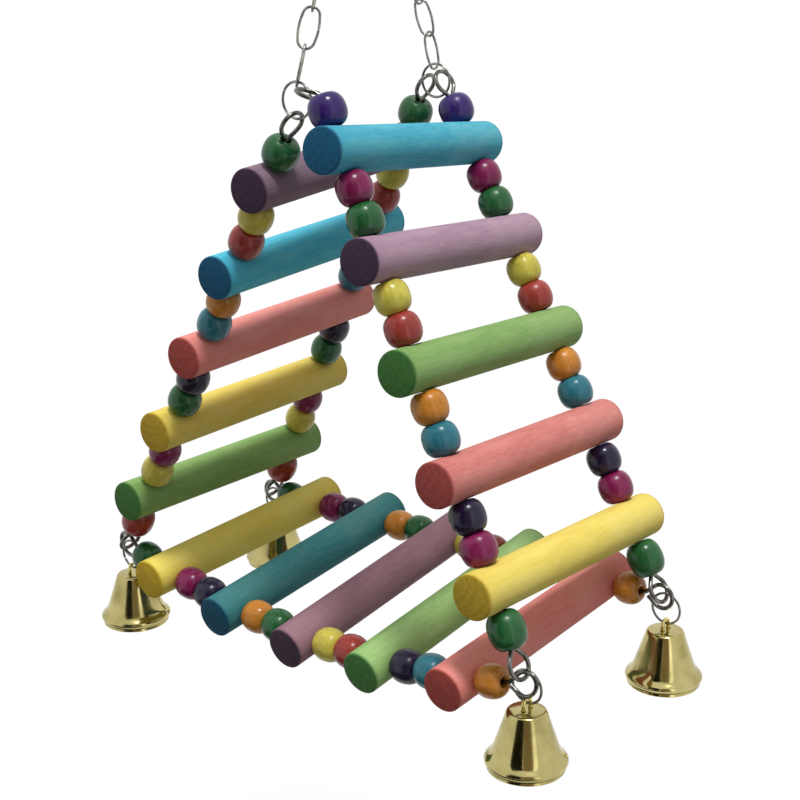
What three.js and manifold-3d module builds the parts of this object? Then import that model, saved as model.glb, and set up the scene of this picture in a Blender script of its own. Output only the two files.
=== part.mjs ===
import * as THREE from 'three';
import { mergeVertices } from 'three/addons/utils/BufferGeometryUtils.js';
import Module from 'manifold-3d';

const wasm = await Module();
wasm.setup();

// Sizes are in millimetres and angles in degrees. +Z is up, +Y runs along the rungs from the front
// of the swing to its back, and +X runs from the left ladder to the right one.
// The origin is the centre of the hanging ring, which holds the whole swing.

// Wooden rungs
const rungCount = 5;
const rungDia = 15;
const rungLen = 99;
const rungEdge = 0.6;
const rungPitch = 36;
const rungSides = 12;
const wireInset = 10.5;

// Turned wooden beads, two between neighbouring rungs and one beyond each end rung. On the side
// ladders the last one has slid down its wire to the eye, away from the rung.
const beadDia = 12.2;
const beadFaceDia = 5.8;
const beadShoulder = 2.4;
const beadRungGap = 0.45;
const endSlack = 1.8;
const beadSides = 7;

// Steel wire of the ladders, bent to a closed drop-shaped eye at both ends
const wireDia = 1.6;
const wireHolePlay = 0.5;
const wireHoleSides = 6;
const eyeMeanDia = 8.8;
const eyeNeck = 1.3;
const eyeLeave = 38;
const eyeClose = 190;
const eyeSteps = 6;
const eyeSectionSteps = 3;

// Play left between two wires that hang in each other, in a jump ring, and in an eye that is drawn
// taut or pushed home
const linkPlay = 0.3;
const ringPlay = 0.5;
const tautEyePlay = 1.2;
const slackEyePlay = 0.7;

// Jump rings, one at each top corner and one over each bell, which sits to one side of the corner
const topRingDia = 12.6;
const bellRingDia = 12;
const jumpRingWire = 1;
const jumpRingSteps = 12;
const bellRingAside = 2;

// Two chains of oval links. The front one hangs twisted against the top edge.
const linkLen = 14.5;
const linkWidth = 7.4;
const linkWire = 1;
const linksPerChain = 8;
const frontLinkTurn = 35;
const linkSteps = 8;

// Hanging ring
const hangRingDia = 20;
const hangRingWire = 2;
const hangRingSteps = 16;

// Bells: pressed brass shells, with heights measured up from the lip
const bellHeight = 19.8;
const bellCrownDia = 13.4;
const bellCrownEdge = 0.8;
const bellWaistDia = 20.6;
const bellWaistRise = 9.1;
const bellFlareDia = 24.6;
const bellFlareRise = 5.6;
const bellRimDia = 27;
const bellRimRise = 3.2;
const bellRimBand = 1.2;
const bellLipDia = 25.4;
const bellWall = 0.9;
const bellSides = 13;

// Bell hangers: closed loops of brass wire through two holes in the crown
const hangerWire = 1.2;
const hangerWidth = 4.8;
const hangerAbove = 4.5;
const hangerBelow = 4.6;
const hangerHolePlay = 0.6;
const hangerSteps = 8;

// Bell clappers: a ball on a rod, hooked on the hanger by an eye
const clapperWire = 0.9;
const clapperEyeDia = 3.9;
const clapperEyeSteps = 8;
const clapperRodDia = 1.1;
const clapperBallDia = 7.2;
const clapperBallSides = 8;
const clapperBallRings = 6;
const clapperDrop = 1.6;

// How the tent hangs: its top edge is turned against the base, its right bottom edge is tilted,
// the base slopes until the whole balances, and the front wire of the base bows down
const topTurn = -6;
const rightTilt = 2;
const baseSlope = 1.06;
const baseBow = 11.5;

// Where the wires of the side ladders would end at the top: out from the middle of their ring and up
// from it. The front eye of the right ladder is bent over until it reaches its ring.
const rightFrontOut = 8;
const rightFrontUp = 7.3;
const rightFrontBend = 66;
const rightBackOut = 3.7;
const rightBackUp = -0.35;
const leftFrontOut = 2.4;
const leftFrontUp = -7.6;
const leftBackOut = 4.5;
const leftBackUp = -2;

// Number of flat sides on the round wire of rings and links, and how near two corners count as one
const wireSides = 5;
const sameSpot = 1e-4;

// Sizes that follow from the ones above
const wireHalf = rungLen / 2 - wireInset;
const wireRad = wireDia / 2;
const rungRad = rungDia / 2;
const eyeRad = eyeMeanDia / 2;
const beadLen = (rungPitch - rungDia - 2 * beadRungGap) / 2;
const eyeStem = eyeRad + eyeNeck;
const eyeReach = rungRad + beadRungGap + beadLen + eyeStem;
const wireRun = (rungCount - 1) * rungPitch + 2 * eyeReach + endSlack;
const topRingRad = (topRingDia - jumpRingWire) / 2;
const bellRingRad = (bellRingDia - jumpRingWire) / 2;
const hangRad = (hangRingDia - hangRingWire) / 2;
const linkRun = linkLen - linkWire;
const linkStep = linkRun - linkWire - linkPlay;
const firstBow = hangRad - (hangRingWire + linkWire) / 2 - linkPlay;
const lastBow = firstBow + (linksPerChain - 1) * linkStep + linkRun;
const ringHead = topRingRad - (linkWire + jumpRingWire) / 2 - ringPlay;
const topDrop = Math.sqrt(lastBow ** 2 - wireHalf ** 2) + ringHead;
const tautPlay = 2 * eyeRad - wireDia - tautEyePlay;
const slackPlay = wireDia + slackEyePlay;

// Colours of stained wood, painted beads and metal
const blue = 0x46a5be;
const purple = 0x9c7f96;
const green = 0x86b45c;
const pink = 0xdc857d;
const yellow = 0xead65f;
const violetPaint = 0x3c236e;
const greenPaint = 0x286e37;
const steel = 0x8c8c90;
const brass = 0xc8b96e;

const rad = THREE.MathUtils.degToRad;
const up = new THREE.Vector3(0, 0, 1);
const eastward = new THREE.Vector3(1, 0, 0);
const backward = new THREE.Vector3(0, 1, 0);
const group = new THREE.Group();

function stainedWood(color) {
  return new THREE.MeshStandardMaterial({ color, roughness: 0.75, metalness: 0 });
}

function glossPaint(color) {
  return new THREE.MeshStandardMaterial({ color, roughness: 0.3, metalness: 0 });
}

function brightMetal(color) {
  return new THREE.MeshStandardMaterial({ color, roughness: 0.28, metalness: 1 });
}

function addMesh(parent, name, geometry, material, frame) {
  const mesh = new THREE.Mesh(geometry, material);
  mesh.name = name;
  mesh.applyMatrix4(frame);
  parent.add(mesh);
}

function addGroup(parent) {
  const child = new THREE.Group();
  parent.add(child);
  return child;
}

// A geometry as a closed solid, ready to be joined or cut
function solid(geometry) {
  const bare = geometry.clone();
  bare.deleteAttribute('normal');
  bare.deleteAttribute('uv');
  const merged = mergeVertices(bare, sameSpot);
  const vertProperties = new Float32Array(merged.attributes.position.array);
  const triVerts = new Uint32Array(merged.index.array);
  return new wasm.Manifold(new wasm.Mesh({ numProp: 3, vertProperties, triVerts }));
}

function geometryOf(body) {
  const mesh = body.getMesh();
  const geometry = new THREE.BufferGeometry();
  geometry.setAttribute('position', new THREE.BufferAttribute(new Float32Array(mesh.vertProperties), 3));
  geometry.setIndex(new THREE.BufferAttribute(new Uint32Array(mesh.triVerts), 1));
  geometry.computeVertexNormals();
  return geometry;
}

// A ring of round wire in the XY plane, drawn out along Y into an oval of the given straight length
function wireRing(meanRad, wire, straight, steps) {
  const geometry = new THREE.TorusGeometry(meanRad, wire / 2, wireSides, steps);
  geometry.rotateZ(Math.PI / steps);
  const spots = geometry.attributes.position;
  for (let i = 0; i < spots.count; i += 1) {
    spots.setY(i, spots.getY(i) + Math.sign(spots.getY(i)) * straight / 2);
  }
  return geometryOf(solid(geometry));
}

// A frame with its X axis across, its Y axis along, and its origin at a point
function frameAt(point, across, along) {
  const y = along.clone().normalize();
  const x = across.clone().addScaledVector(y, -across.dot(y)).normalize();
  return new THREE.Matrix4().makeBasis(x, y, x.clone().cross(y)).setPosition(point);
}

// A corner edge of the tent: its front and back points lie a wire spacing apart
function edgeDirection(turn, tilt) {
  const level = Math.cos(rad(tilt));
  return new THREE.Vector3(Math.sin(rad(turn)) * level, Math.cos(rad(turn)) * level, Math.sin(rad(tilt)));
}

function edgeFromFront(front, along) {
  return { along, front, back: front.clone().addScaledVector(along, 2 * wireHalf) };
}

const topAlong = edgeDirection(topTurn, 0);
const crossways = new THREE.Vector3().crossVectors(topAlong, up);
const topFront = new THREE.Vector3(0, 0, -topDrop).addScaledVector(topAlong, -wireHalf);
const topEdge = edgeFromFront(topFront, topAlong);

function topEnd(side, out, rise) {
  return topEdge[side].clone().addScaledVector(crossways, out).addScaledVector(up, rise);
}

const rightTop = {
  front: topEnd('front', rightFrontOut, rightFrontUp),
  back: topEnd('back', rightBackOut, rightBackUp),
};
const leftTop = {
  front: topEnd('front', -leftFrontOut, leftFrontUp),
  back: topEnd('back', -leftBackOut, leftBackUp),
};

// The front left corner of the base: it lies a slack left side below the left top end, and a base
// length from a right corner that lies a taut right side below the right top end
const baseRise = rad(baseSlope);
const baseSpan = new THREE.Vector3(Math.cos(baseRise), 0, Math.sin(baseRise)).multiplyScalar(wireRun);

function frontLeftCorner() {
  const leftSide = wireRun + slackPlay;
  const rightSide = wireRun + tautPlay;
  const gap = rightTop.front.clone().sub(baseSpan).sub(leftTop.front).setY(0);
  const reach = (gap.lengthSq() + leftSide ** 2 - rightSide ** 2) / (2 * gap.length());
  const drop = Math.sqrt(leftSide ** 2 - reach ** 2);
  gap.normalize();
  const corner = leftTop.front.clone().addScaledVector(gap, reach);
  return corner.add(new THREE.Vector3(-gap.z, 0, gap.x).multiplyScalar(drop)).setY(-wireHalf);
}

const leftEdge = edgeFromFront(frontLeftCorner(), backward);
const rightEdge = edgeFromFront(leftEdge.front.clone().add(baseSpan), edgeDirection(0, rightTilt));

// Each wire starts at the centre of its first eye and runs straight, or bowed down, to its last eye
function sideWire(start, side, edge, bend) {
  const along = edge[side].clone().sub(start).normalize();
  return { start, along, across: edge.along, bow: 0, bend, slide: endSlack };
}

function baseWire(side, bow) {
  const along = rightEdge[side].clone().sub(leftEdge[side]).normalize();
  return { start: leftEdge[side], along, across: up, bow, bend: 0, slide: 0 };
}

function wireFrame(wire) {
  return frameAt(wire.start, wire.across, wire.along);
}

function bowAt(wire, run) {
  return -wire.bow * (1 - (2 * run / wireRun - 1) ** 2);
}

function wirePoint(wire, run) {
  return new THREE.Vector3(bowAt(wire, run), run, 0).applyMatrix4(wireFrame(wire));
}

const ladders = [
  {
    name: 'right',
    front: sideWire(rightTop.front, 'front', rightEdge, rightFrontBend),
    back: sideWire(rightTop.back, 'back', rightEdge, 0),
    stains: [blue, purple, green, pink, yellow],
    paint: violetPaint,
  },
  {
    name: 'left',
    front: sideWire(leftTop.front, 'front', leftEdge, 0),
    back: sideWire(leftTop.back, 'back', leftEdge, 0),
    stains: [purple, blue, pink, yellow, green],
    paint: greenPaint,
  },
  {
    name: 'base',
    front: baseWire('front', baseBow),
    back: baseWire('back', 0),
    stains: [yellow, blue, purple, green, pink],
    paint: greenPaint,
  },
];

// Rungs: round dowels with broken edges, drilled along the two wires that run through them
const rungProfile = [
  [0, -rungLen / 2],
  [rungRad - rungEdge, -rungLen / 2],
  [rungRad, -rungLen / 2 + rungEdge],
  [rungRad, rungLen / 2 - rungEdge],
  [rungRad - rungEdge, rungLen / 2],
  [0, rungLen / 2],
].map(([radius, run]) => new THREE.Vector2(radius, run));

function rungFrame(ladder, run) {
  const front = wirePoint(ladder.front, run);
  const back = wirePoint(ladder.back, run);
  const middle = front.clone().lerp(back, 0.5);
  return frameAt(middle, ladder.front.along, back.sub(front));
}

function wireHole(wire, run) {
  const holeRad = wireRad + wireHolePlay;
  const hole = new THREE.CylinderGeometry(holeRad, holeRad, 2 * rungDia, wireHoleSides);
  const along = wirePoint(wire, run + rungRad).sub(wirePoint(wire, run - rungRad));
  return hole.applyMatrix4(frameAt(wirePoint(wire, run), wire.across, along));
}

function rung(ladder, run) {
  const toRung = rungFrame(ladder, run).invert();
  let dowel = solid(new THREE.LatheGeometry(rungProfile, rungSides));
  for (const wire of [ladder.front, ladder.back]) {
    dowel = dowel.subtract(solid(wireHole(wire, run).applyMatrix4(toRung)));
  }
  return geometryOf(dowel);
}

// Beaded wires: one turned profile takes in a wire and the beads threaded on it
function beadPoints(from) {
  return [
    [beadFaceDia / 2, from],
    [beadDia / 2, from + beadShoulder],
    [beadDia / 2, from + beadLen - beadShoulder],
  ];
}

function beadedProfile(slide) {
  const points = [[0, eyeStem - wireRad], [wireRad, eyeStem - wireRad]];
  const runs = [[eyeStem, 1]];
  for (let i = 0; i < rungCount - 1; i += 1) {
    runs.push([eyeReach + i * rungPitch + rungRad + beadRungGap, 2]);
  }
  runs.push([wireRun - eyeStem - beadLen - endSlack + slide, 1]);
  for (const [from, count] of runs) {
    points.push([wireRad, from]);
    for (let i = 0; i < count; i += 1) {
      points.push(...beadPoints(from + i * beadLen));
    }
    points.push([beadFaceDia / 2, from + count * beadLen], [wireRad, from + count * beadLen]);
  }
  points.push([wireRad, wireRun - eyeStem + wireRad], [0, wireRun - eyeStem + wireRad]);
  return points.map(([radius, run]) => new THREE.Vector2(radius, run));
}

// Half of an eye round the origin, from its neck towards +Y round one side to past its foot
function eyeHalf(side) {
  const points = [new THREE.Vector3(0, eyeStem, 0)];
  for (let i = 0; i < eyeSteps; i += 1) {
    const turn = rad(eyeLeave + (eyeClose - eyeLeave) * i / (eyeSteps - 1));
    points.push(new THREE.Vector3(side * eyeRad * Math.sin(turn), eyeRad * Math.cos(turn), 0));
  }
  const section = new THREE.Shape().absarc(0, 0, wireRad, 0, 2 * Math.PI, false);
  const extrudePath = new THREE.CatmullRomCurve3(points);
  return new THREE.ExtrudeGeometry(section, { extrudePath, steps: eyeSteps, curveSegments: eyeSectionSteps });
}

function beadedWire(wire) {
  let body = solid(new THREE.LatheGeometry(beadedProfile(wire.slide), beadSides));
  for (const side of [1, -1]) {
    const firstEye = eyeHalf(side).translate(0, -eyeStem, 0).rotateX(-rad(wire.bend));
    body = body.add(solid(firstEye.translate(0, eyeStem, 0)));
    body = body.add(solid(eyeHalf(side).rotateZ(Math.PI).translate(0, wireRun, 0)));
  }
  const geometry = geometryOf(body);
  const spots = geometry.attributes.position;
  for (let i = 0; i < spots.count; i += 1) {
    spots.setX(i, spots.getX(i) + bowAt(wire, spots.getY(i)));
  }
  return geometry;
}

for (const ladder of ladders) {
  const parent = addGroup(group);
  ladder.stains.forEach((stain, i) => {
    const run = eyeReach + i * rungPitch;
    const name = `${ladder.name}_rung_${i + 1}`;
    addMesh(parent, name, rung(ladder, run), stainedWood(stain), rungFrame(ladder, run));
  });
  for (const side of ['front', 'back']) {
    const wire = ladder[side];
    const name = `${ladder.name}_beaded_wire_${side}`;
    addMesh(parent, name, beadedWire(wire), glossPaint(ladder.paint), wireFrame(wire));
  }
}

// Hanging ring: it stands in the plane of the two chains
const hangRing = wireRing(hangRad, hangRingWire, 0, hangRingSteps);
addMesh(group, 'hanging_ring', hangRing, brightMetal(steel), frameAt(new THREE.Vector3(), topAlong, up));

// Chains and top rings: oval links, each turned a quarter against the last, lead from the hanging
// ring to a ring that gathers the eyes of both side ladders
for (const side of ['front', 'back']) {
  const parent = addGroup(group);
  const along = topEdge[side].clone().addScaledVector(up, ringHead).normalize();
  const turn = side === 'front' ? rad(frontLinkTurn) : 0;
  for (let i = 0; i < linksPerChain; i += 1) {
    const link = wireRing((linkWidth - linkWire) / 2, linkWire, linkLen - linkWidth, linkSteps);
    const middle = along.clone().multiplyScalar(firstBow + i * linkStep + linkRun / 2);
    const across = (i % 2 ? topAlong : crossways).clone().applyAxisAngle(up, turn);
    const frame = frameAt(middle, across, along);
    addMesh(parent, `${side}_chain_link_${i + 1}`, link, brightMetal(steel), frame);
  }
  const ring = wireRing(topRingRad, jumpRingWire, 0, jumpRingSteps);
  addMesh(parent, `${side}_top_ring`, ring, brightMetal(steel), frameAt(topEdge[side], crossways, up));
}

// Bells: shell, hanger and clapper, with the middle of the crown as their origin and +Y up
const bellProfile = [
  [0, -bellWall],
  [bellCrownDia / 2 - bellWall, -bellWall - bellCrownEdge],
  [bellWaistDia / 2 - bellWall, bellWaistRise - bellHeight],
  [bellFlareDia / 2 - bellWall, bellFlareRise - bellHeight],
  [bellLipDia / 2 - bellWall, -bellHeight],
  [bellLipDia / 2, -bellHeight],
  [bellRimDia / 2, bellRimRise - bellRimBand - bellHeight],
  [bellRimDia / 2, bellRimRise - bellHeight],
  [bellFlareDia / 2, bellFlareRise - bellHeight],
  [bellWaistDia / 2, bellWaistRise - bellHeight],
  [bellCrownDia / 2, -bellCrownEdge],
  [bellCrownDia / 2 - bellCrownEdge, 0],
  [0, 0],
].map(([radius, height]) => new THREE.Vector2(radius, height));
const hangerRad = (hangerWidth - hangerWire) / 2;

function bellShell() {
  let body = solid(new THREE.LatheGeometry(bellProfile, bellSides));
  const holeRad = (hangerWire + hangerHolePlay) / 2;
  for (const side of [1, -1]) {
    const hole = new THREE.CylinderGeometry(holeRad, holeRad, 4 * bellWall, hangerSteps);
    body = body.subtract(solid(hole.translate(side * hangerRad, 0, 0)));
  }
  return geometryOf(body);
}

function bellHanger() {
  const straight = hangerAbove + hangerBelow - hangerWidth;
  const loop = wireRing(hangerRad, hangerWire, straight, hangerSteps);
  return loop.translate(0, (hangerAbove - hangerBelow) / 2, 0);
}

function bellClapper() {
  const eyeRadius = (clapperEyeDia - clapperWire) / 2;
  const eyeTop = -hangerBelow + hangerWire + clapperWire / 2 + linkPlay;
  const rodTop = eyeTop - 2 * eyeRadius;
  const ballMiddle = clapperBallDia / 2 - bellHeight - clapperDrop;
  const eye = wireRing(eyeRadius, clapperWire, 0, clapperEyeSteps);
  eye.rotateY(Math.PI / 2).translate(0, eyeTop - eyeRadius, 0);
  const rodRad = clapperRodDia / 2;
  const rod = new THREE.CylinderGeometry(rodRad, rodRad, rodTop - ballMiddle, wireSides);
  rod.translate(0, (rodTop + ballMiddle) / 2, 0);
  const ball = new THREE.SphereGeometry(clapperBallDia / 2, clapperBallSides, clapperBallRings);
  ball.translate(0, ballMiddle, 0);
  return geometryOf(solid(eye).add(solid(rod)).add(solid(ball)));
}

// Each bell hangs by its jump ring from the foot of a side ladder's eye, so its heights count down
// from there
const ringMiddle = (jumpRingWire + wireDia) / 2 + ringPlay - bellRingRad;
const hangerTop = ringMiddle - bellRingRad + jumpRingWire / 2 + hangerWire + linkPlay;
const eyeFoot = wireRun + Math.sqrt(eyeRad ** 2 - bellRingAside ** 2);

for (const ladder of ladders.slice(0, 2)) {
  for (const side of ['front', 'back']) {
    const name = `${ladder.name}_${side}`;
    const parent = addGroup(group);
    parent.position.set(bellRingAside, eyeFoot, 0).applyMatrix4(wireFrame(ladder[side]));
    const ringFrame = frameAt(new THREE.Vector3(0, 0, ringMiddle), eastward, up);
    const crownFrame = frameAt(new THREE.Vector3(0, 0, hangerTop - hangerAbove), backward, up);
    const ring = wireRing(bellRingRad, jumpRingWire, 0, jumpRingSteps);
    addMesh(parent, `bell_ring_${name}`, ring, brightMetal(steel), ringFrame);
    addMesh(parent, `bell_${name}`, bellShell(), brightMetal(brass), crownFrame);
    addMesh(parent, `bell_hanger_${name}`, bellHanger(), brightMetal(brass), crownFrame);
    addMesh(parent, `bell_clapper_${name}`, bellClapper(), brightMetal(brass), crownFrame);
  }
}

export default group;
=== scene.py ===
import math

import bpy
from mathutils import Matrix, Quaternion, Vector


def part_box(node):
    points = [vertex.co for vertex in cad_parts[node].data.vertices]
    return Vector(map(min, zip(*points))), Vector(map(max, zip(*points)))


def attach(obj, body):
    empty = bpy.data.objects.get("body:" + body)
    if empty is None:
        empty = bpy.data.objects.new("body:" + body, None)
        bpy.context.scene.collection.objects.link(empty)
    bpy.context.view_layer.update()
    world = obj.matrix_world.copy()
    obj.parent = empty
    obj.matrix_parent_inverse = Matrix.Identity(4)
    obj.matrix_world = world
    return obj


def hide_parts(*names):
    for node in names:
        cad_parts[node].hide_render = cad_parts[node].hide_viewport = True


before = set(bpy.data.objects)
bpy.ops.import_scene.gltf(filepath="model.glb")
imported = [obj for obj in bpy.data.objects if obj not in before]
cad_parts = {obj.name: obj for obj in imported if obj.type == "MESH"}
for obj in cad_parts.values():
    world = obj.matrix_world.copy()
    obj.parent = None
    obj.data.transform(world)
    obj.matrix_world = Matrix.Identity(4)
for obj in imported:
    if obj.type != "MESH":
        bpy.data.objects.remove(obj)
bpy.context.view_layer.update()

# Ladder wires: six lengths of nickel-plated steel wire, two to each ladder. Both ends are bent round a
# peg into a drop-shaped eye, and the eyes hook into each other at the corners of the tent. The base's
# front wire sags. On the right ladder one top eye is bent over and twisted, and one is squeezed.
MM = 0.001
ORIGIN = Vector((0, 0, 0))
UP = Vector((0, 0, 1))
BACK = Vector((0, 1, 0))
wire_thick = 1.5 * MM
wire_run = 193.2 * MM
wire_half_gap = 39 * MM
eye_rad = 4.25 * MM
eye_neck = 6.6 * MM
eye_bend_rad = 3 * MM
eye_tip_gap = 0.95 * MM
top_drop = 102.972 * MM
top_turn = math.radians(-6)
right_tilt = math.radians(2)
base_slope = math.radians(1.06)
base_bow = 11.5 * MM
eye_over_bend = math.radians(66)
eye_over_twist = math.radians(26)
eye_squeeze = 0.985
stem_start = 5.7 * MM
taut_play = 6 * MM
slack_play = 2.3 * MM
top_eye_shift = {("right", "front"): (8 * MM, 7.3 * MM), ("right", "back"): (3.7 * MM, -0.35 * MM),
                 ("left", "front"): (-2.4 * MM, -7.6 * MM), ("left", "back"): (-4.5 * MM, -2 * MM)}
facet_degrees = 6
seam_gap = 0.005 * MM

top_along = Vector((math.sin(top_turn), math.cos(top_turn), 0))
crossways = top_along.cross(UP)
top_middle = Vector((0, 0, -top_drop))
top_corner = {"front": top_middle - wire_half_gap * top_along,
              "back": top_middle + wire_half_gap * top_along}
top_eye = {(ladder, side): top_corner[side] + across * crossways + lift * UP
           for (ladder, side), (across, lift) in top_eye_shift.items()}

base_span = wire_run * Vector((math.cos(base_slope), 0, math.sin(base_slope)))
corner_gap = top_eye["right", "front"] - base_span - top_eye["left", "front"]
corner_gap.y = 0
left_side = wire_run + slack_play
right_side = wire_run + taut_play
reach = (corner_gap.length_squared + left_side ** 2 - right_side ** 2) / (2 * corner_gap.length)
drop = math.sqrt(left_side ** 2 - reach ** 2)
corner_gap.normalize()
square_to_gap = Vector((-corner_gap.z, 0, corner_gap.x))
left_front = top_eye["left", "front"] + reach * corner_gap + drop * square_to_gap
left_front.y = -wire_half_gap
right_along = Vector((0, math.cos(right_tilt), math.sin(right_tilt)))
left_corner = {"front": left_front, "back": left_front + 2 * wire_half_gap * BACK}
right_front = left_front + base_span
right_corner = {"front": right_front, "back": right_front + 2 * wire_half_gap * right_along}


def frame_at(point, across, along):
    """A place on the swing, with its X axis across and its Y axis along the piece that sits there."""
    y = along.normalized()
    x = (across - across.dot(y) * y).normalized()
    axes = Matrix((x, y, x.cross(y))).transposed()
    return Matrix.Translation(point) @ axes.to_4x4()


wire_place = {}
for side in ("front", "back"):
    right_eye, left_eye = top_eye["right", side], top_eye["left", side]
    wire_place["right", side] = frame_at(right_eye, right_along, right_corner[side] - right_eye)
    wire_place["left", side] = frame_at(left_eye, BACK, left_corner[side] - left_eye)
    wire_place["base", side] = frame_at(left_corner[side], UP, right_corner[side] - left_corner[side])


def bow_at(ladder, side, run):
    """How far a ladder wire hangs out of its straight line at a distance along it."""
    bow = base_bow if (ladder, side) == ("base", "front") else 0
    return -bow * (1 - (2 * run / wire_run - 1) ** 2)


def bend_wire(name, thick, start, heading, bends, sides=14):
    """Round wire bent on a jig: it runs straight to a point, or turns round a peg by an angle."""
    bpy.ops.object.select_all(action="DESELECT")
    facing = heading.to_track_quat("Z", "Y").to_euler()
    bpy.ops.mesh.primitive_circle_add(vertices=sides, radius=thick / 2, location=start, rotation=facing)
    wire = bpy.context.object
    wire.name = name
    bpy.ops.object.transform_apply(location=True, rotation=True, scale=True)
    bpy.ops.object.mode_set(mode="EDIT")
    bpy.ops.mesh.select_all(action="SELECT")
    at = Vector(start)
    for kind, *bend in bends:
        if kind == "run":
            point, lengths = bend
            step = (point - at) / lengths
            for _ in range(lengths):
                bpy.ops.mesh.extrude_region_move(TRANSFORM_OT_translate={"value": step})
            at = point
        else:
            peg, axis, angle = bend
            steps = max(2, round(math.degrees(abs(angle)) / facet_degrees))
            bpy.ops.mesh.spin(steps=steps, angle=-angle, center=peg, axis=axis)
            at = peg + Quaternion(axis, angle) @ (at - peg)
    bpy.ops.mesh.select_all(action="SELECT")
    bpy.ops.mesh.remove_doubles(threshold=seam_gap)
    bpy.ops.mesh.fill_holes(sides=0)
    bpy.ops.mesh.normals_make_consistent(inside=False)
    bpy.ops.object.mode_set(mode="OBJECT")
    bpy.ops.object.shade_smooth_by_angle(angle=math.radians(40))
    return wire


def take_hold(piece, held):
    """Goes into edit mode with only those points of a piece selected that the test holds."""
    bpy.ops.object.mode_set(mode="EDIT")
    bpy.ops.mesh.select_all(action="DESELECT")
    bpy.ops.object.mode_set(mode="OBJECT")
    for point in piece.data.vertices:
        point.select = held(point.co)
    bpy.ops.object.mode_set(mode="EDIT")


def copy_of(piece, name):
    """A copy of a piece with its own mesh, selected alone."""
    bpy.ops.object.select_all(action="DESELECT")
    twin = piece.copy()
    twin.data = piece.data.copy()
    twin.name = name
    bpy.context.collection.objects.link(twin)
    twin.select_set(True)
    bpy.context.view_layer.objects.active = twin
    return twin


def put(piece, place):
    """Carries a piece from the bench to its place on the swing and keeps the place in its mesh."""
    bpy.ops.object.select_all(action="DESELECT")
    piece.select_set(True)
    bpy.context.view_layer.objects.active = piece
    piece.matrix_world = place
    bpy.ops.object.transform_apply(location=True, rotation=True, scale=True)
    return piece


def colour(code):
    """A paint or stain, given as it looks on a screen."""
    parts = [int(code[i:i + 2], 16) / 255 for i in (0, 2, 4)]
    return [p / 12.92 if p <= 0.04045 else ((p + 0.055) / 1.055) ** 2.4 for p in parts] + [1]


def new_finish(name):
    """An empty finish with its shader, ready for the nodes of one surface."""
    finish = bpy.data.materials.new(name)
    finish.use_nodes = True
    nodes = finish.node_tree.nodes
    return finish, nodes, finish.node_tree.links, nodes["Principled BSDF"]


def ramp(nodes, *stops):
    """A colour ramp with the given places and colours."""
    node = nodes.new("ShaderNodeValToRGB")
    band = node.color_ramp.elements
    while len(band) < len(stops):
        band.new(0.5)
    for element, (place, tint) in zip(band, stops):
        element.position = place
        element.color = tint
    return node


def grey(value):
    return [value, value, value, 1]


def noise(nodes, links, where, scale, detail):
    """Cloudy noise, read at the given coordinates."""
    node = nodes.new("ShaderNodeTexNoise")
    node.inputs["Scale"].default_value = scale
    node.inputs["Detail"].default_value = detail
    links.new(where, node.inputs["Vector"])
    return node


def relief(nodes, links, height, strength, distance):
    """Fine relief in a finish, raised where the given pattern is high."""
    node = nodes.new("ShaderNodeBump")
    node.inputs["Strength"].default_value = strength
    node.inputs["Distance"].default_value = distance
    links.new(height, node.inputs["Height"])
    return node


def plated_steel(name, bright, dull):
    """Nickel plate on drawn wire: a little cloudy, with dark specks and fine rubbed places."""
    finish, nodes, links, shader = new_finish(name)
    where = nodes.new("ShaderNodeTexCoord").outputs["Object"]
    cloud = noise(nodes, links, where, scale=260, detail=5)
    rub = noise(nodes, links, where, scale=1900, detail=3)
    tint = ramp(nodes, (0.3, colour(dull)), (0.62, colour(bright)))
    polish = ramp(nodes, (0.3, grey(0.34)), (0.7, grey(0.18)))
    dent = relief(nodes, links, rub.outputs["Fac"], strength=0.12, distance=0.2 * MM)
    links.new(cloud.outputs["Fac"], tint.inputs["Fac"])
    links.new(rub.outputs["Fac"], polish.inputs["Fac"])
    links.new(tint.outputs["Color"], shader.inputs["Base Color"])
    links.new(polish.outputs["Color"], shader.inputs["Roughness"])
    links.new(dent.outputs["Normal"], shader.inputs["Normal"])
    shader.inputs["Metallic"].default_value = 1
    return finish


wire_finish = plated_steel("drawn_steel_wire", "84827d", "4b4945")
leg_angle = math.acos(eye_rad / eye_neck)
tangent = eye_rad * Vector((math.sin(leg_angle), math.cos(leg_angle), 0))
leg = (Vector((0, eye_neck, 0)) - tangent).normalized()
leg_lean = math.acos(leg.y)
bend_tangent = eye_bend_rad * math.tan(leg_lean / 2)
bend_start = Vector((0, eye_neck, 0)) - bend_tangent * leg
bend_peg = bend_start + eye_bend_rad * Vector((leg.y, -leg.x, 0))
eye_tip = Vector((-eye_tip_gap, eye_neck - eye_tip_gap * leg.y / abs(leg.x), 0))
far = Vector((0, wire_run, 0))


def from_far_end(point):
    return Vector((point.x, wire_run - point.y, 0))


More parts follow.
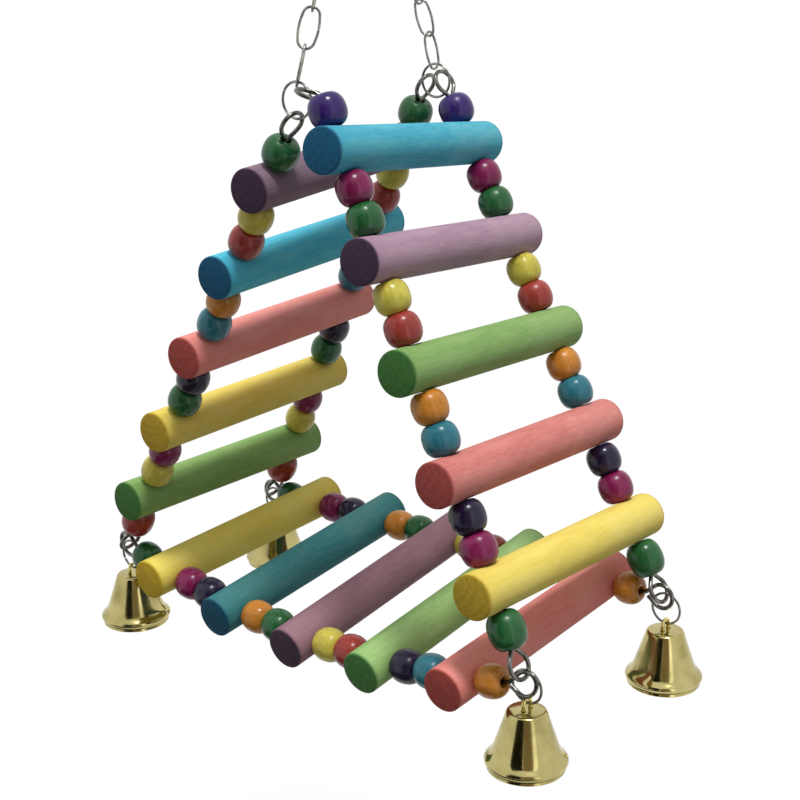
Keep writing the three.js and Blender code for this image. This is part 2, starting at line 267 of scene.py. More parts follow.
mirrored = Vector((-tangent.x, tangent.y, 0))
around = 2 * math.pi - 2 * leg_angle
ladder_wire = bend_wire("ladder_wire", wire_thick, eye_tip, mirrored - eye_tip, [
    ("run", mirrored, 2),
    ("turn", ORIGIN, UP, around),
    ("run", bend_start, 2),
    ("turn", bend_peg, UP, -leg_lean),
    ("run", Vector((0, wire_run - eye_neck - bend_tangent, 0)), 60),
    ("turn", from_far_end(bend_peg), UP, -leg_lean),
    ("run", from_far_end(tangent), 2),
    ("turn", far, UP, around),
    ("run", from_far_end(eye_tip), 2),
])
for ladder, side in wire_place:
    wire = copy_of(ladder_wire, f"{ladder}_wire_{side}")
    if (ladder, side) == ("right", "front"):
        take_hold(wire, lambda at: at.y < stem_start)
        stem = (0, stem_start, 0)
        bpy.ops.transform.rotate(value=eye_over_twist, orient_axis="Y", center_override=stem)
        bpy.ops.transform.rotate(value=eye_over_bend, orient_axis="X", center_override=stem)
        bpy.ops.object.mode_set(mode="OBJECT")
    if (ladder, side) == ("right", "back"):
        for point in wire.data.vertices:
            if point.co.y < eye_neck:
                point.co.y = eye_neck + eye_squeeze * (point.co.y - eye_neck)
    for point in wire.data.vertices:
        point.co.x += bow_at(ladder, side, point.co.y)
    put(wire, wire_place[ladder, side])
    wire.data.materials.append(wire_finish)
    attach(wire, "tent")
    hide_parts(f"{ladder}_beaded_wire_{side}")
bpy.data.objects.remove(ladder_wire)

# Rungs: fifteen lengths of 15 mm birch dowel with broken edges, dipped in thin water stain. Eight rungs take
# a
# copy of their stain instead: the lighter copies are painted light, the darker ones painted shade. The end
# grain drinks more stain and comes out darker. Two holes through each rung take the ladder's wires.
rung_rad = 7.5 * MM
rung_len = 99 * MM
rung_edge = 0.7 * MM
rung_pitch = 36 * MM
rungs_per_ladder = 5
first_rung = 23.7 * MM
last_rung = first_rung + (rungs_per_ladder - 1) * rung_pitch
stain_soak = 2.2 * MM
stain_edge = 0.2 * MM
wire_hole_rad = 1.2 * MM
stains_and_painted_light = {
    "blue": ("4fb3cb", "2f8fae", "86cdd0", "1b5f84"),
    "purple": ("b493a6", "8f7086", "c9adba", "473449"),
    "green": ("8bb168", "68914c", "a9c489", "447839"),
    "pink": ("da867e", "c16761", "f2aaa0", "ac5049"),
    "yellow": ("f3dc6c", "dcbd4a", "f9ea94", "c8a835"),
    # Lighter and darker copies of the five stains, for single rungs: the lighter ones are painted light, the
    # darker ones painted shade.
    "purple_in_shade": ("947989", "71586a", "ab949f", "473449"),
    "blue_in_light": ("59cde8", "35a1c4", "92dee1", "1b5c80"),
    "pink_in_light": ("f99c93", "e67971", "fdb8ac", "b4524a"),
    "yellow_in_light": ("fbe56a", "ecc944", "fff0a0", "dcb836"),
    "blue_in_base_shade": ("3d8185", "236771", "6a9588", "1b5670"),
    "purple_in_base_shade": ("a27a86", "805c6c", "b58f97", "4d3a4a"),
    "green_in_light": ("a2cb7c", "7aa75e", "c5e2a6", "4c8442"),
}
# The rungs that take those copies: the lighter copies are painted light, the darker ones painted shade.
lit_and_shaded_stains = {("left", 1): "purple_in_shade", ("left", 2): "blue_in_light", ("left", 3): "pink_in_light",
               ("base", 1): "yellow_in_light", ("base", 2): "blue_in_base_shade", ("base", 3): "purple_in_base_shade",
               ("base", 4): "green_in_light", ("base", 5): "pink_in_light"}
rung_colours = {"right": ("blue", "purple", "green", "pink", "yellow"),
                "left": ("purple", "blue", "pink", "yellow", "green"),
                "base": ("yellow", "blue", "purple", "green", "pink")}
# The colour sockets of a Mix node, which share their names with its other sockets.
mix_under, mix_over, mix_result = 6, 7, 2


def wire_point(ladder, side, run):
    """A place on a ladder wire, at a distance along it."""
    return wire_place[ladder, side] @ Vector((bow_at(ladder, side, run), run, 0))


def bench_points(piece, place, offset):
    """Keeps where each point lay on the bench, so that grain and wear follow the piece."""
    marks = piece.data.attributes.new("bench", "FLOAT_VECTOR", "POINT")
    home = place.inverted()
    for point, mark in zip(piece.data.vertices, marks.data):
        mark.vector = home @ point.co + offset


def drill(piece, radius, depth, spot, facing=(0, 0, 0)):
    """A round hole cut into a piece."""
    bpy.ops.object.select_all(action="DESELECT")
    bpy.ops.mesh.primitive_cylinder_add(vertices=20, radius=radius, depth=depth, location=spot,
                                        rotation=facing)
    bit = bpy.context.object
    bpy.context.view_layer.objects.active = piece
    hole = piece.modifiers.new("hole", "BOOLEAN")
    hole.operation = "DIFFERENCE"
    hole.solver = "EXACT"
    hole.object = bit
    bpy.ops.object.modifier_apply(modifier="hole")
    bpy.data.objects.remove(bit)


def drawn_out(nodes, links, where, scale):
    """Coordinates drawn out one way, for grain, pores and scratches."""
    node = nodes.new("ShaderNodeMapping")
    node.inputs["Scale"].default_value = scale
    links.new(where, node.inputs["Vector"])
    return node.outputs["Vector"]


def mixed(nodes, links, under, over):
    """One colour laid over another, with the share still to be set."""
    node = nodes.new("ShaderNodeMix")
    node.data_type = "RGBA"
    links.new(under, node.inputs[mix_under])
    links.new(over, node.inputs[mix_over])
    return node


def stained_wood(name, middle, deep, thin, end):
    """Water stain on birch dowel: streaks along the grain, pale watery patches and dark end grain."""
    finish, nodes, links, shader = new_finish(name)
    marks = nodes.new("ShaderNodeAttribute")
    marks.attribute_name = "bench"
    bench = marks.outputs["Vector"]
    streak = noise(nodes, links, drawn_out(nodes, links, bench, (1, 0.14, 1)), scale=900, detail=8)
    streak.inputs["Roughness"].default_value = 0.7
    wash = noise(nodes, links, drawn_out(nodes, links, bench, (1, 0.45, 1)), scale=85, detail=4)
    wash.inputs["Distortion"].default_value = 0.6
    grain = ramp(nodes, (0.22, colour(deep)), (0.48, colour(middle)), (0.8, colour(thin)))
    links.new(streak.outputs["Fac"], grain.inputs["Fac"])
    water = ramp(nodes, (0.24, colour(deep)), (0.5, colour(middle)), (0.85, colour(thin)))
    links.new(wash.outputs["Fac"], water.inputs["Fac"])
    side = mixed(nodes, links, grain.outputs["Color"], water.outputs["Color"])
    side.inputs["Factor"].default_value = 0.5
    pores = nodes.new("ShaderNodeTexVoronoi")
    pores.inputs["Scale"].default_value = 1500
    links.new(drawn_out(nodes, links, bench, (1, 0.07, 1)), pores.inputs["Vector"])
    pore_mask = ramp(nodes, (0.08, grey(0.7)), (0.2, grey(0)))
    links.new(pores.outputs["Distance"], pore_mask.inputs["Fac"])
    scattered = nodes.new("ShaderNodeMath")
    scattered.operation = "MULTIPLY"
    links.new(pore_mask.outputs["Color"], scattered.inputs[0])
    links.new(wash.outputs["Fac"], scattered.inputs[1])
    pored = nodes.new("ShaderNodeMix")
    pored.data_type = "RGBA"
    links.new(scattered.outputs["Value"], pored.inputs["Factor"])
    links.new(side.outputs[mix_result], pored.inputs[mix_under])
    pored.inputs[mix_over].default_value = colour(deep)
    growth = nodes.new("ShaderNodeTexWave")
    growth.wave_type = "RINGS"
    growth.rings_direction = "Y"
    growth.inputs["Scale"].default_value = 110
    growth.inputs["Distortion"].default_value = 7
    growth.inputs["Detail"].default_value = 5
    growth.inputs["Detail Scale"].default_value = 2.5
    off_heart = nodes.new("ShaderNodeMapping")
    off_heart.inputs["Location"].default_value = (0.006, 0, 0.004)
    links.new(bench, off_heart.inputs["Vector"])
    links.new(off_heart.outputs["Vector"], growth.inputs["Vector"])
    ring_tint = ramp(nodes, (0.0, grey(0.86)), (1.0, grey(1)))
    links.new(growth.outputs["Fac"], ring_tint.inputs["Fac"])
    fibre_ends = ramp(nodes, (0.3, [c * 0.82 for c in colour(end)[:3]] + [1]),
                      (0.7, [min(1, c * 1.14) for c in colour(end)[:3]] + [1]))
    links.new(streak.outputs["Fac"], fibre_ends.inputs["Fac"])
    end_grain = mixed(nodes, links, fibre_ends.outputs["Color"], ring_tint.outputs["Color"])
    end_grain.blend_type = "MULTIPLY"
    end_grain.inputs["Factor"].default_value = 1
    run = nodes.new("ShaderNodeSeparateXYZ")
    links.new(bench, run.inputs["Vector"])
    cut_end = nodes.new("ShaderNodeMapRange")
    cut_end.inputs["From Min"].default_value = rung_len / 2 - stain_soak
    cut_end.inputs["From Max"].default_value = rung_len / 2 - stain_edge
    distance = nodes.new("ShaderNodeMath")
    distance.operation = "ABSOLUTE"
    links.new(run.outputs["Y"], distance.inputs[0])
    links.new(distance.outputs["Value"], cut_end.inputs["Value"])
    soak = nodes.new("ShaderNodeMath")
    soak.operation = "POWER"
    soak.inputs[1].default_value = 3
    links.new(cut_end.outputs["Result"], soak.inputs[0])
    whole = mixed(nodes, links, pored.outputs[mix_result], end_grain.outputs[mix_result])
    links.new(soak.outputs["Value"], whole.inputs["Factor"])
    links.new(whole.outputs[mix_result], shader.inputs["Base Color"])
    dull = ramp(nodes, (0.3, grey(0.82)), (0.7, grey(0.66)))
    links.new(streak.outputs["Fac"], dull.inputs["Fac"])
    links.new(dull.outputs["Color"], shader.inputs["Roughness"])
    shader.inputs["Specular IOR Level"].default_value = 0.22
    fibre = relief(nodes, links, streak.outputs["Fac"], strength=0.35, distance=0.2 * MM)
    pit = relief(nodes, links, scattered.outputs["Value"], strength=0.25, distance=0.2 * MM)
    pit.invert = True
    links.new(fibre.outputs["Normal"], pit.inputs["Normal"])
    links.new(pit.outputs["Normal"], shader.inputs["Normal"])
    return finish


wood_finish = {name: stained_wood(f"stained_birch_{name}", *tints) for name, tints in stains_and_painted_light.items()}
bpy.ops.object.select_all(action="DESELECT")
bpy.ops.mesh.primitive_cylinder_add(vertices=56, radius=rung_rad, depth=rung_len,
                                    rotation=(math.radians(90), 0, 0))
dowel = bpy.context.object
bpy.ops.object.transform_apply(location=True, rotation=True, scale=True)
broken = dowel.modifiers.new("broken_edges", "BEVEL")
broken.width = rung_edge
broken.segments = 3
broken.limit_method = "ANGLE"
broken.angle_limit = math.radians(60)
bpy.ops.object.modifier_apply(modifier="broken_edges")
for ladder, names in rung_colours.items():
    for number, stain in enumerate(names, 1):
        run = first_rung + (number - 1) * rung_pitch
        front = wire_point(ladder, "front", run)
        back = wire_point(ladder, "back", run)
        along_ladder = wire_place[ladder, "front"].col[1].to_3d()
        place = frame_at((front + back) / 2, along_ladder, back - front)
        rung = put(copy_of(dowel, f"{ladder}_dowel_{number}"), place)
        for side in ("front", "back"):
            way = wire_point(ladder, side, run + rung_rad) - wire_point(ladder, side, run - rung_rad)
            drill(rung, wire_hole_rad, 3 * rung_rad, wire_point(ladder, side, run),
                  way.to_track_quat("Z", "Y").to_euler())
        bpy.ops.object.select_all(action="DESELECT")
        rung.select_set(True)
        bpy.ops.object.shade_smooth_by_angle(angle=math.radians(35))
        bench_points(rung, place, ORIGIN)
        rung.data.materials.clear()
        # Eight rungs take a copy of their stain: a lighter one as painted light, a darker one as painted
        # shade.
        rung.data.materials.append(wood_finish[lit_and_shaded_stains.get((ladder, number), stain)])
        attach(rung, "tent")
        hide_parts(f"{ladder}_rung_{number}")
bpy.data.objects.remove(dowel)

# Beads: sixty turned wooden barrels, dipped in gloss lacquer and threaded on the wires, two between
# neighbouring rungs and one beyond each end rung. The last ones of the side ladders are longer, and
# the end ones of the base smaller. A bored hole with a sunk mouth takes the wire.
bead_rad = 6.1 * MM
bead_len = 10.42 * MM
bead_face_rad = 3.5 * MM
bead_face_edge = 0.5 * MM
bead_face_drop = 0.08 * MM
bead_fullness = 1.6
bead_shoulder = 0.92
bead_stations = 10
bead_hole_rad = 1.75 * MM
bead_mouth = ((2.2 * MM, 0), (0.5 * MM, 0), (0.15 * MM, 0.25 * MM), (0, 0.6 * MM))
bead_rung_gap = 0.08 * MM
bead_spin = 2.4
beads_per_wire = 10
stock_step = 0.03
ladder_stock = {"right": 0.25, "left": 0.2, "base": 0.2}
side_stock = {"front": 0.45, "back": 0.36}
bead_girths = (1.02, 0.99, 1, 0.98, 0.995, 0.985, 1, 0.975, 0.99, 1.02)
last_bead_stretch = 1.16
base_end_size = 0.94
lacquers = {"violet": "371d6b", "dark_violet": "1d1334", "magenta": "831850", "green": "236233",
            "yellow": "d6c850", "red": "a43c34", "orange": "d0862e", "teal": "2b7888"}
bead_colours = {
    "right": ("violet", "magenta", "green", "yellow", "red", "orange", "teal", "dark_violet", "magenta",
              "green"),
    "left": ("green", "yellow", "red", "orange", "teal", "dark_violet", "green", "magenta", "yellow", "red"),
    "base": ("green", "magenta", "dark_violet", "orange", "green", "yellow", "red", "dark_violet", "teal",
             "orange"),
}


def turn(name, sides, stations):
    """A piece turned on a lathe: a ring is drawn along the axis and opened or closed at each station."""
    bpy.ops.object.select_all(action="DESELECT")
    height, radius = stations[0]
    bpy.ops.mesh.primitive_circle_add(vertices=sides, radius=radius, location=(0, 0, height))
    piece = bpy.context.object
    piece.name = name
    bpy.ops.object.transform_apply(location=True, rotation=True, scale=True)
    bpy.ops.object.mode_set(mode="EDIT")
    bpy.ops.mesh.select_all(action="SELECT")
    for next_height, next_radius in stations[1:]:
        rise = (0, 0, next_height - height)
        bpy.ops.mesh.extrude_region_move(TRANSFORM_OT_translate={"value": rise})
        grow = next_radius / radius
        bpy.ops.transform.resize(value=(grow, grow, 1), center_override=(0, 0, next_height))
        height, radius = next_height, next_radius
    bpy.ops.mesh.select_all(action="SELECT")
    bpy.ops.mesh.remove_doubles(threshold=seam_gap)
    bpy.ops.mesh.fill_holes(sides=0)
    bpy.ops.mesh.normals_make_consistent(inside=False)
    bpy.ops.object.mode_set(mode="OBJECT")
    return piece


def lacquer(name, paint):
    """Dipped gloss lacquer on turned wood: uneven cover, faint grain and a slightly wavy shine."""
    finish, nodes, links, shader = new_finish(name)
    marks = nodes.new("ShaderNodeAttribute")
    marks.attribute_name = "bench"
    bench = marks.outputs["Vector"]
    cover = noise(nodes, links, bench, scale=190, detail=4)
    grain = noise(nodes, links, drawn_out(nodes, links, bench, (1, 0.12, 1)), scale=900, detail=4)
    full = colour(paint)
    thick = [c * 0.72 for c in full[:3]] + [1]
    thin = [min(1, c * 1.25 + 0.012) for c in full[:3]] + [1]
    coat = ramp(nodes, (0.3, thick), (0.5, full), (0.72, thin))
    links.new(cover.outputs["Fac"], coat.inputs["Fac"])
    lines = ramp(nodes, (0.36, thick), (0.56, full), (0.75, thin))
    links.new(grain.outputs["Fac"], lines.inputs["Fac"])
    both = mixed(nodes, links, coat.outputs["Color"], lines.outputs["Color"])
    both.inputs["Factor"].default_value = 0.45
    links.new(both.outputs[mix_result], shader.inputs["Base Color"])
    shine = ramp(nodes, (0.35, grey(0.2)), (0.7, grey(0.32)))
    links.new(cover.outputs["Fac"], shine.inputs["Fac"])
    links.new(shine.outputs["Color"], shader.inputs["Roughness"])
    ripple = relief(nodes, links, grain.outputs["Fac"], strength=0.12, distance=0.4 * MM)
    links.new(ripple.outputs["Normal"], shader.inputs["Normal"])
    shader.inputs["Specular IOR Level"].default_value = 0.36
    return finish


bead_finish = {name: lacquer(f"bead_lacquer_{name}", paint) for name, paint in lacquers.items()}
half_bead = bead_len / 2
bead_side = [(-half_bead + depth, bead_hole_rad + widening) for depth, widening in bead_mouth]
bead_side += [(-half_bead, bead_face_rad - bead_face_edge), (-half_bead + bead_face_drop, bead_face_rad)]
face_turn = math.acos((bead_face_rad / bead_rad) ** bead_fullness)
for step in range(1, bead_stations):
    lift = face_turn * (1 - step / bead_stations)
    along = (math.sin(lift) / math.sin(face_turn)) ** bead_shoulder
    bead_side.append((-(half_bead - bead_face_drop) * along,
                      bead_rad * math.cos(lift) ** (1 / bead_fullness)))
bead_side += [(0, bead_rad)]
bead_side += [(-height, radius) for height, radius in reversed(bead_side[:-1])]
bead_side += [bead_side[0]]
bead = turn("bead", 36, bead_side)
bpy.ops.object.shade_smooth_by_angle(angle=math.radians(50))
bead_runs = []
for gap in range(rungs_per_ladder - 1):
    after_rung = first_rung + gap * rung_pitch + rung_rad + bead_rung_gap
    bead_runs += [after_rung + half_bead, after_rung + half_bead + bead_len]
off_end_rung = rung_rad + bead_rung_gap + base_end_size * half_bead
off_top_eye = stem_start + half_bead
off_low_eye = stem_start + last_bead_stretch * half_bead
first_run = {"right": off_top_eye, "left": off_top_eye, "base": first_rung - off_end_rung}
last_run = {"right": wire_run - off_low_eye, "left": wire_run - off_low_eye,
            "base": last_rung + off_end_rung}
lie_along = Matrix.Rotation(math.radians(-90), 4, "X")
for ladder, side in wire_place:
    runs = [first_run[ladder]] + bead_runs + [last_run[ladder]]
    for number, (run, paint) in enumerate(zip(runs, bead_colours[ladder]), 1):
        way = wire_point(ladder, side, run + half_bead) - wire_point(ladder, side, run - half_bead)
        place = frame_at(wire_point(ladder, side, run), wire_place[ladder, side].col[0].to_3d(), way)
        spun = place @ Matrix.Rotation(bead_spin * number, 4, "Y")
        girth, stretch = bead_girths[number - 1], 1
        if ladder == "base" and number in (1, beads_per_wire):
            girth = stretch = base_end_size
        elif number == beads_per_wire:
            stretch = last_bead_stretch
        size = Matrix.Diagonal((girth, girth, stretch, 1))
        piece = put(copy_of(bead, f"{ladder}_{side}_bead_{number}"), spun @ lie_along @ size)
        stock = Vector((stock_step * number, 0, ladder_stock[ladder] + side_stock[side]))
        bench_points(piece, spun, stock)
        piece.data.materials.append(bead_finish[paint])
        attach(piece, "tent")
        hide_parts(f"{ladder}_beaded_wire_{side}")
bpy.data.objects.remove(bead)

# Jump rings: thin sprung steel wire wound on a rod and cut, so each ring closes on a fine butt joint.
# Two larger ones gather the eyes at the top corners, and four carry the bells.
FORTH = Vector((1, 0, 0))
jump_thick = 0.9 * MM
top_ring_rad = 5.8 * MM
bell_ring_rad = 5.5 * MM
jump_gap = math.radians(3)
top_joint_at = {"front": 2.6, "back": 0.4}
bell_joint_at = {"right": 4.5, "left": 3.7}
ring_finish = plated_steel("jump_ring_steel", "9a9894", "565450")


def jump_ring(name, radius, joint_at):
    """A ring in the XY plane, wound round the origin, with its cut at an angle from the X axis."""
    cut = joint_at + jump_gap / 2
    start = radius * Vector((math.cos(cut), math.sin(cut), 0))
    heading = Vector((-math.sin(cut), math.cos(cut), 0))
    return bend_wire(name, jump_thick, start, heading,
                     [("turn", ORIGIN, UP, 2 * math.pi - jump_gap)], sides=12)


for side, joint_at in top_joint_at.items():
    ring = put(jump_ring(f"{side}_gather_ring", top_ring_rad, joint_at),
               frame_at(top_corner[side], crossways, UP))
    ring.data.materials.append(ring_finish)
    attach(ring, "top_rings")
    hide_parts(f"{side}_top_ring")
ring_middle = {}
for ladder in ("right", "left"):
    for side in ("front", "back"):
        low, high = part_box(f"bell_ring_{ladder}_{side}")
        ring_middle[ladder, side] = (low + high) / 2
        ring = put(jump_ring(f"{ladder}_{side}_bell_ring", bell_ring_rad, bell_joint_at[ladder]),
                   frame_at(ring_middle[ladder, side], FORTH, UP))
        ring.data.materials.append(ring_finish)
        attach(ring, f"bell_ring_{ladder}_{side}")
        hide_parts(f"bell_ring_{ladder}_{side}")

# Chains: two lengths of eight oval links in nickel-plated steel, each link turned a quarter against
# the last. Every link is bent from cut wire and closes on a butt joint in one long side.
link_thick = 0.9 * MM
link_run = 13.5 * MM
link_half_width = 3.2 * MM
link_bend_rad = 2.7 * MM
link_step = 12.2 * MM
first_link = 7.2 * MM
links_per_chain = 8
link_joint = 0.25 * MM
link_turn = {"front": Quaternion(UP, math.radians(35)), "back": Quaternion(UP, 0)}
ring_head = 4.3 * MM
chain_finish = plated_steel("chain_steel", "a8a6a0", "64625e")
end_peg = Vector((0, link_run / 2 - link_bend_rad, 0))
bulge = link_half_width - link_bend_rad
side_peg = Vector(((end_peg.y ** 2 - bulge ** 2) / (2 * bulge), 0, 0))
side_lean = math.atan2(end_peg.y, side_peg.x)
joint_lean = link_joint / 2 / (side_peg.x + link_half_width)
link_cut = Vector((link_half_width, link_joint / 2, 0))
chain_link = bend_wire("chain_link", link_thick, link_cut, BACK, [
    ("turn", -side_peg, UP, side_lean - joint_lean),
    ("turn", end_peg, UP, math.pi - 2 * side_lean),
    ("turn", side_peg, UP, 2 * side_lean),
    ("turn", -end_peg, UP, math.pi - 2 * side_lean),
    ("turn", -side_peg, UP, side_lean - joint_lean),
], sides=12)
for side in ("front", "back"):
    along_chain = (top_corner[side] + ring_head * UP).normalized()
    for number in range(1, links_per_chain + 1):
        middle = (first_link + (number - 1) * link_step + link_run / 2) * along_chain
        across = link_turn[side] @ (crossways if number % 2 else top_along)
        link = put(copy_of(chain_link, f"{side}_link_{number}"), frame_at(middle, across, along_chain))
        link.data.materials.append(chain_finish)
        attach(link, f"chain_pair_{number}")
        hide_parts(f"{side}_chain_link_{number}")
bpy.data.objects.remove(chain_link)

# Hanging ring: a welded ring of 2 mm steel wire that takes the first links of both chains. The weld
# leaves a low swelling in the wire.
hang_thick = 2 * MM
hang_rad = 9 * MM
weld_swells = ((1.45 * MM, 1.05), (1.1 * MM, 1.06))
hang_finish = plated_steel("welded_ring_steel", "a3a2a0", "676563")
weld = Vector((0, -hang_rad, 0))
hang_ring = bend_wire("carrying_ring", hang_thick, weld, FORTH,
                      [("turn", ORIGIN, UP, 2 * math.pi)], sides=18)
for weld_reach, swell in weld_swells:
    take_hold(hang_ring, lambda at: (at - weld).length < weld_reach)
    bpy.ops.transform.resize(value=(swell, swell, swell), center_override=weld)
    bpy.ops.object.mode_set(mode="OBJECT")
put(hang_ring, frame_at(ORIGIN, top_along, UP))
hang_ring.data.materials.append(hang_finish)
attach(hang_ring, "hanging_ring")
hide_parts("hanging_ring")

# Bells: four shells pressed from thin brass sheet and polished, with a flat crown, a flared skirt and
# a rolled rim. Two holes punched in the crown take the hanger. Heights from the crown and radii in mm.
bell_outside = [(-19.8, 12.3), (-19.78, 12.56), (-19.6, 12.7), (-19.35, 12.68), (-19.12, 12.5),
                (-18.9, 12.44), (-18.6, 12.6), (-18.2, 12.95), (-17.8, 13.24), (-17.4, 13.42), (-17, 13.46),
                (-16.6, 13.34), (-16.2, 13.06), (-15.8, 12.68), (-15.4, 12.24), (-14.9, 11.76),
                (-14.2, 11.26), (-13.2, 10.78), (-12, 10.33), (-10.7, 9.88), (-8.5, 9.14), (-6, 8.32),
                (-3.5, 7.5), (-1.7, 6.92), (-1.1, 6.72), (-0.6, 6.5), (-0.25, 6.24), (-0.06, 5.86), (0, 5.4)]
bell_inside = [(-0.9, 5.0), (-1.3, 5.6), (-3.5, 6.7), (-8.5, 8.36), (-10.7, 9.1), (-13.2, 9.98),
               (-14.2, 10.46), (-15.4, 11.4), (-16.2, 12.1), (-17.4, 12.4), (-18.6, 12.05), (-19.6, 11.7)]
crown_middle = 0.3
crown_drop = 8 * MM
hanger_rad = 1.8 * MM
hanger_hole_rad = 0.85 * MM
punch_len = 6 * MM


def polished_brass(name, bright, warm, dull):
    """Bright brass under a thin lacquer: pale, with faint cloudy tarnish, rub marks and pin scratches."""
    finish, nodes, links, shader = new_finish(name)
    where = nodes.new("ShaderNodeTexCoord").outputs["Object"]
    tarnish = noise(nodes, links, where, scale=120, detail=5)
    scratch = noise(nodes, links, drawn_out(nodes, links, where, (1, 1, 9)), scale=420, detail=6)
    tint = ramp(nodes, (0.28, colour(dull)), (0.48, colour(warm)), (0.7, colour(bright)))
    links.new(tarnish.outputs["Fac"], tint.inputs["Fac"])
    links.new(tint.outputs["Color"], shader.inputs["Base Color"])
    polish = ramp(nodes, (0.35, grey(0.22)), (0.65, grey(0.1)))
    links.new(tarnish.outputs["Fac"], polish.inputs["Fac"])
    links.new(polish.outputs["Color"], shader.inputs["Roughness"])
    mark = relief(nodes, links, scratch.outputs["Fac"], strength=0.05, distance=0.2 * MM)
    links.new(mark.outputs["Normal"], shader.inputs["Normal"])
    shader.inputs["Metallic"].default_value = 1
    return finish


bell_finish = polished_brass("polished_brass_shell", "c2b67c", "b3a76e", "9c8f5a")
bell_side = [(bell_inside[0][0], crown_middle)] + bell_inside + bell_outside + [(0, crown_middle)]
shell = turn("bell_shell", 72, [(height * MM, radius * MM) for height, radius in bell_side])
for side in (-1, 1):
    drill(shell, hanger_hole_rad, punch_len, (side * hanger_rad, 0, 0))
bpy.ops.object.select_all(action="DESELECT")
shell.select_set(True)
bpy.ops.object.shade_smooth_by_angle(angle=math.radians(35))
quarter_turn = Matrix.Rotation(math.radians(90), 4, "Z")
bell_place = {}
for key, middle in ring_middle.items():
    name = "_".join(key)
    bell_place[key] = Matrix.Translation(middle - crown_drop * UP) @ quarter_turn
    bell = put(copy_of(shell, f"{name}_bell"), bell_place[key])
    bell.data.materials.append(bell_finish)
    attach(bell, f"bell_{name}")
    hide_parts(f"bell_{name}")
bpy.data.objects.remove(shell)

# Bell hangers: a closed loop of brass wire through the two holes in the crown. Above, it hangs on the
# jump ring, and inside the bell it carries the clapper.
hanger_thick = 1.2 * MM
hanger_above = 4.5 * MM
hanger_below = 4.6 * MM
hanger_gap = 0.2 * MM
hanger_finish = polished_brass("brass_hanger_wire", "e6da8e", "d8c878", "b09c58")
loop_top = hanger_above - hanger_thick / 2 - hanger_rad
loop_foot = -hanger_below + hanger_thick / 2 + hanger_rad
AWAY = Vector((0, -1, 0))
hanger_cut = Vector((hanger_rad, 0, loop_foot + hanger_gap))
hanger = bend_wire("hanger", hanger_thick, hanger_cut, UP, [
    ("run", Vector((hanger_rad, 0, loop_top)), 2),
    ("turn", Vector((0, 0, loop_top)), AWAY, math.pi),
    ("run", Vector((-hanger_rad, 0, loop_foot)), 2),
    ("turn", Vector((0, 0, loop_foot)), AWAY, math.pi),
], sides=14)
for key, place in bell_place.items():
    name = "_".join(key)
    loop = put(copy_of(hanger, f"{name}_hanger"), place)
    loop.data.materials.append(hanger_finish)
    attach(loop, f"bell_{name}")
    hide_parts(f"bell_hanger_{name}")
bpy.data.objects.remove(hanger)

# Clappers: a brass ball on a short brass rod, which swings inside each bell. The upper end of the rod
# is bent into an open eye and hooked round the foot of the hanger.
clapper_thick = 0.9 * MM
clapper_eye_rad = 1.5 * MM
clapper_eye_top = -2.65 * MM
clapper_tip = Vector((0, 0.5 * MM, -1.42 * MM))
clapper_wrap = math.radians(318)
ball_rad = 3.6 * MM
ball_middle = -17.8 * MM
ball_stations = 24
rod_end = Vector((0, 0, ball_middle + 0.9 * ball_rad))
clapper_finish = polished_brass("brass_clapper", "d8cb86", "c9ba74", "a09052")
eye_middle = Vector((0, 0, clapper_eye_top - clapper_eye_rad))
clapper_eye = bend_wire("clapper_eye", clapper_thick, eye_middle + clapper_tip, BACK, [
    ("turn", eye_middle, FORTH, clapper_wrap),
    ("run", rod_end, 6),
], sides=10)
ball_side = []
for step in range(1, ball_stations):
    lift = math.radians(-90 + 180 * step / ball_stations)
    ball_side.append((ball_middle + ball_rad * math.sin(lift), ball_rad * math.cos(lift)))
ball = turn("clapper_ball", 32, ball_side)
for key, place in bell_place.items():
    name = "_".join(key)
    rod = copy_of(clapper_eye, f"{name}_clapper")
    copy_of(ball, f"{name}_ball")
    rod.select_set(True)
    bpy.context.view_layer.objects.active = rod
    bpy.ops.object.join()
    put(rod, place)
    bpy.ops.object.shade_smooth_by_angle(angle=math.radians(45))
    rod.data.materials.append(clapper_finish)
    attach(rod, f"clapper_{name}")
    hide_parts(f"bell_clapper_{name}")
bpy.data.objects.remove(clapper_eye)
bpy.data.objects.remove(ball)

# Studio: a pale floor well below the swing, a white room that is lit mostly from overhead, and one broad
# soft lamp above. Cards beside the camera and on the floor, which only reflections show, give the
# polished metal and the lacquer something to mirror.
floor_drop = 0.47
floor_size = 40
floor_glow = 0.76
room_foot, room_head = 0.12, 0.77
lamp_way = Vector((-0.25, 0.12, -0.96))
bpy.ops.object.select_all(action="DESELECT")
bpy.ops.mesh.primitive_plane_add(size=floor_size, location=(0, 0, -floor_drop))
floor = bpy.context.object
floor.name = "floor"
bpy.ops.object.transform_apply(location=True, rotation=True, scale=True)


def background_rays(nodes, links):
    """One where a ray comes straight from the camera, off metal or through glass."""
    path = nodes.new("ShaderNodeLightPath")
    seen = nodes.new("ShaderNodeMath")
    seen.operation = "MAXIMUM"
    links.new(path.outputs["Is Camera Ray"], seen.inputs[0])
    links.new(path.outputs["Is Glossy Ray"], seen.inputs[1])
    through = nodes.new("ShaderNodeMath")
    through.operation = "MAXIMUM"
    links.new(seen.outputs["Value"], through.inputs[0])
    links.new(path.outputs["Is Transmission Ray"], through.inputs[1])
    return through.outputs["Value"]


floor_finish, nodes, links, shader = new_finish("pale_floor")
shader.inputs["Base Color"].default_value = (0.22, 0.22, 0.22, 1)
shader.inputs["Roughness"].default_value = 0.9
shader.inputs["Specular IOR Level"].default_value = 0
level = nodes.new("ShaderNodeMath")
level.operation = "MULTIPLY"
level.inputs[1].default_value = floor_glow
links.new(background_rays(nodes, links), level.inputs[0])
shader.inputs["Emission Color"].default_value = (1, 1, 1, 1)
links.new(level.outputs["Value"], shader.inputs["Emission Strength"])
floor.data.materials.append(floor_finish)

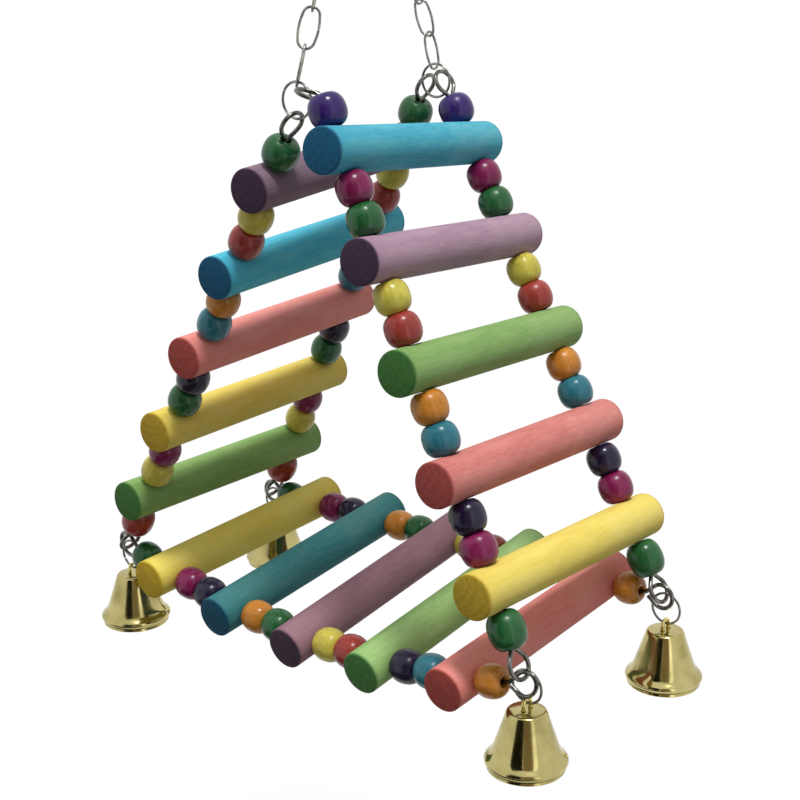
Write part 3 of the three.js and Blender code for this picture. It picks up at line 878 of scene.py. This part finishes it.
room = bpy.data.worlds.new("white_room")
room.use_nodes = True
bpy.context.scene.world = room
nodes, links = room.node_tree.nodes, room.node_tree.links
way = nodes.new("ShaderNodeTexCoord")
height = nodes.new("ShaderNodeSeparateXYZ")
links.new(way.outputs["Generated"], height.inputs["Vector"])
overhead = nodes.new("ShaderNodeMapRange")
overhead.inputs["From Min"].default_value = 0
overhead.inputs["From Max"].default_value = 1
overhead.inputs["To Min"].default_value = room_foot
overhead.inputs["To Max"].default_value = room_head
links.new(height.outputs["Z"], overhead.inputs["Value"])
level = nodes.new("ShaderNodeMix")
links.new(background_rays(nodes, links), level.inputs["Factor"])
links.new(overhead.outputs["Result"], level.inputs["A"])
level.inputs["B"].default_value = 1
links.new(level.outputs["Result"], nodes["Background"].inputs["Strength"])
nodes["Background"].inputs["Color"].default_value = (1, 1, 1, 1)

lamp = bpy.data.lights.new("overhead_lamp", "SUN")
lamp.energy = 2.0
lamp.angle = math.radians(13)
holder = bpy.data.objects.new("overhead_lamp", lamp)
bpy.context.collection.objects.link(holder)
holder.rotation_euler = lamp_way.to_track_quat("-Z", "Y").to_euler()

upright = math.radians(90)
cards = {
    "dark_card": ((0.16, -0.6, -0.06), (upright, 0, 0), (0.4, 0.82), (0.012, 0.012, 0.008), 1),
    "brown_card": ((0.49, -0.46, -0.06), (upright, 0, math.radians(45)), (0.34, 0.82),
                   (0.3, 0.23, 0.15), 1),
    "bright_strip": ((0.65, -0.27, -0.06), (upright, 0, math.radians(65)), (0.13, 0.82), (1, 1, 1), 1.8),
    "low_card": ((0.06, -0.27, 0.003 - floor_drop), (0, 0, 0), (0.7, 0.34), (0.09, 0.085, 0.07), 1),
}
for name, (spot, facing, size, tint, strength) in cards.items():
    bpy.ops.object.select_all(action="DESELECT")
    bpy.ops.mesh.primitive_plane_add(size=1)
    card = bpy.context.object
    card.name = name
    bpy.ops.transform.resize(value=(size[0], size[1], 1))
    card.location = spot
    card.rotation_euler = facing
    bpy.ops.object.transform_apply(location=True, rotation=True, scale=True)
    card_finish, nodes, links, shader = new_finish(name)
    shader.inputs["Base Color"].default_value = (0, 0, 0, 1)
    shader.inputs["Specular IOR Level"].default_value = 0
    shader.inputs["Emission Color"].default_value = (*tint, 1)
    shader.inputs["Emission Strength"].default_value = strength
    card.data.materials.append(card_finish)
    card.visible_camera = False
    card.visible_diffuse = False
    card.visible_shadow = False

scene = bpy.context.scene
scene.view_settings.view_transform = "Standard"
camera_azimuth = math.radians(41.665)
camera_pitch = math.radians(16.82)
camera_roll = math.radians(-0.741)
camera_spot = (0.3535, -0.3844, -0.0539)
photo_pixels = 800
focal_pixels = 1533.2
look = Vector((-math.sin(camera_azimuth) * math.cos(camera_pitch),
               math.cos(camera_azimuth) * math.cos(camera_pitch), -math.sin(camera_pitch)))
lens = bpy.data.cameras.new("camera")
lens.sensor_width = 36
lens.lens = lens.sensor_width * focal_pixels / photo_pixels
lens.clip_start = 0.01
camera = bpy.data.objects.new("camera", lens)
bpy.context.collection.objects.link(camera)
camera.location = camera_spot
camera.rotation_euler = (look.to_track_quat("-Z", "Y") @ Quaternion(UP, camera_roll)).to_euler()
scene.camera = camera
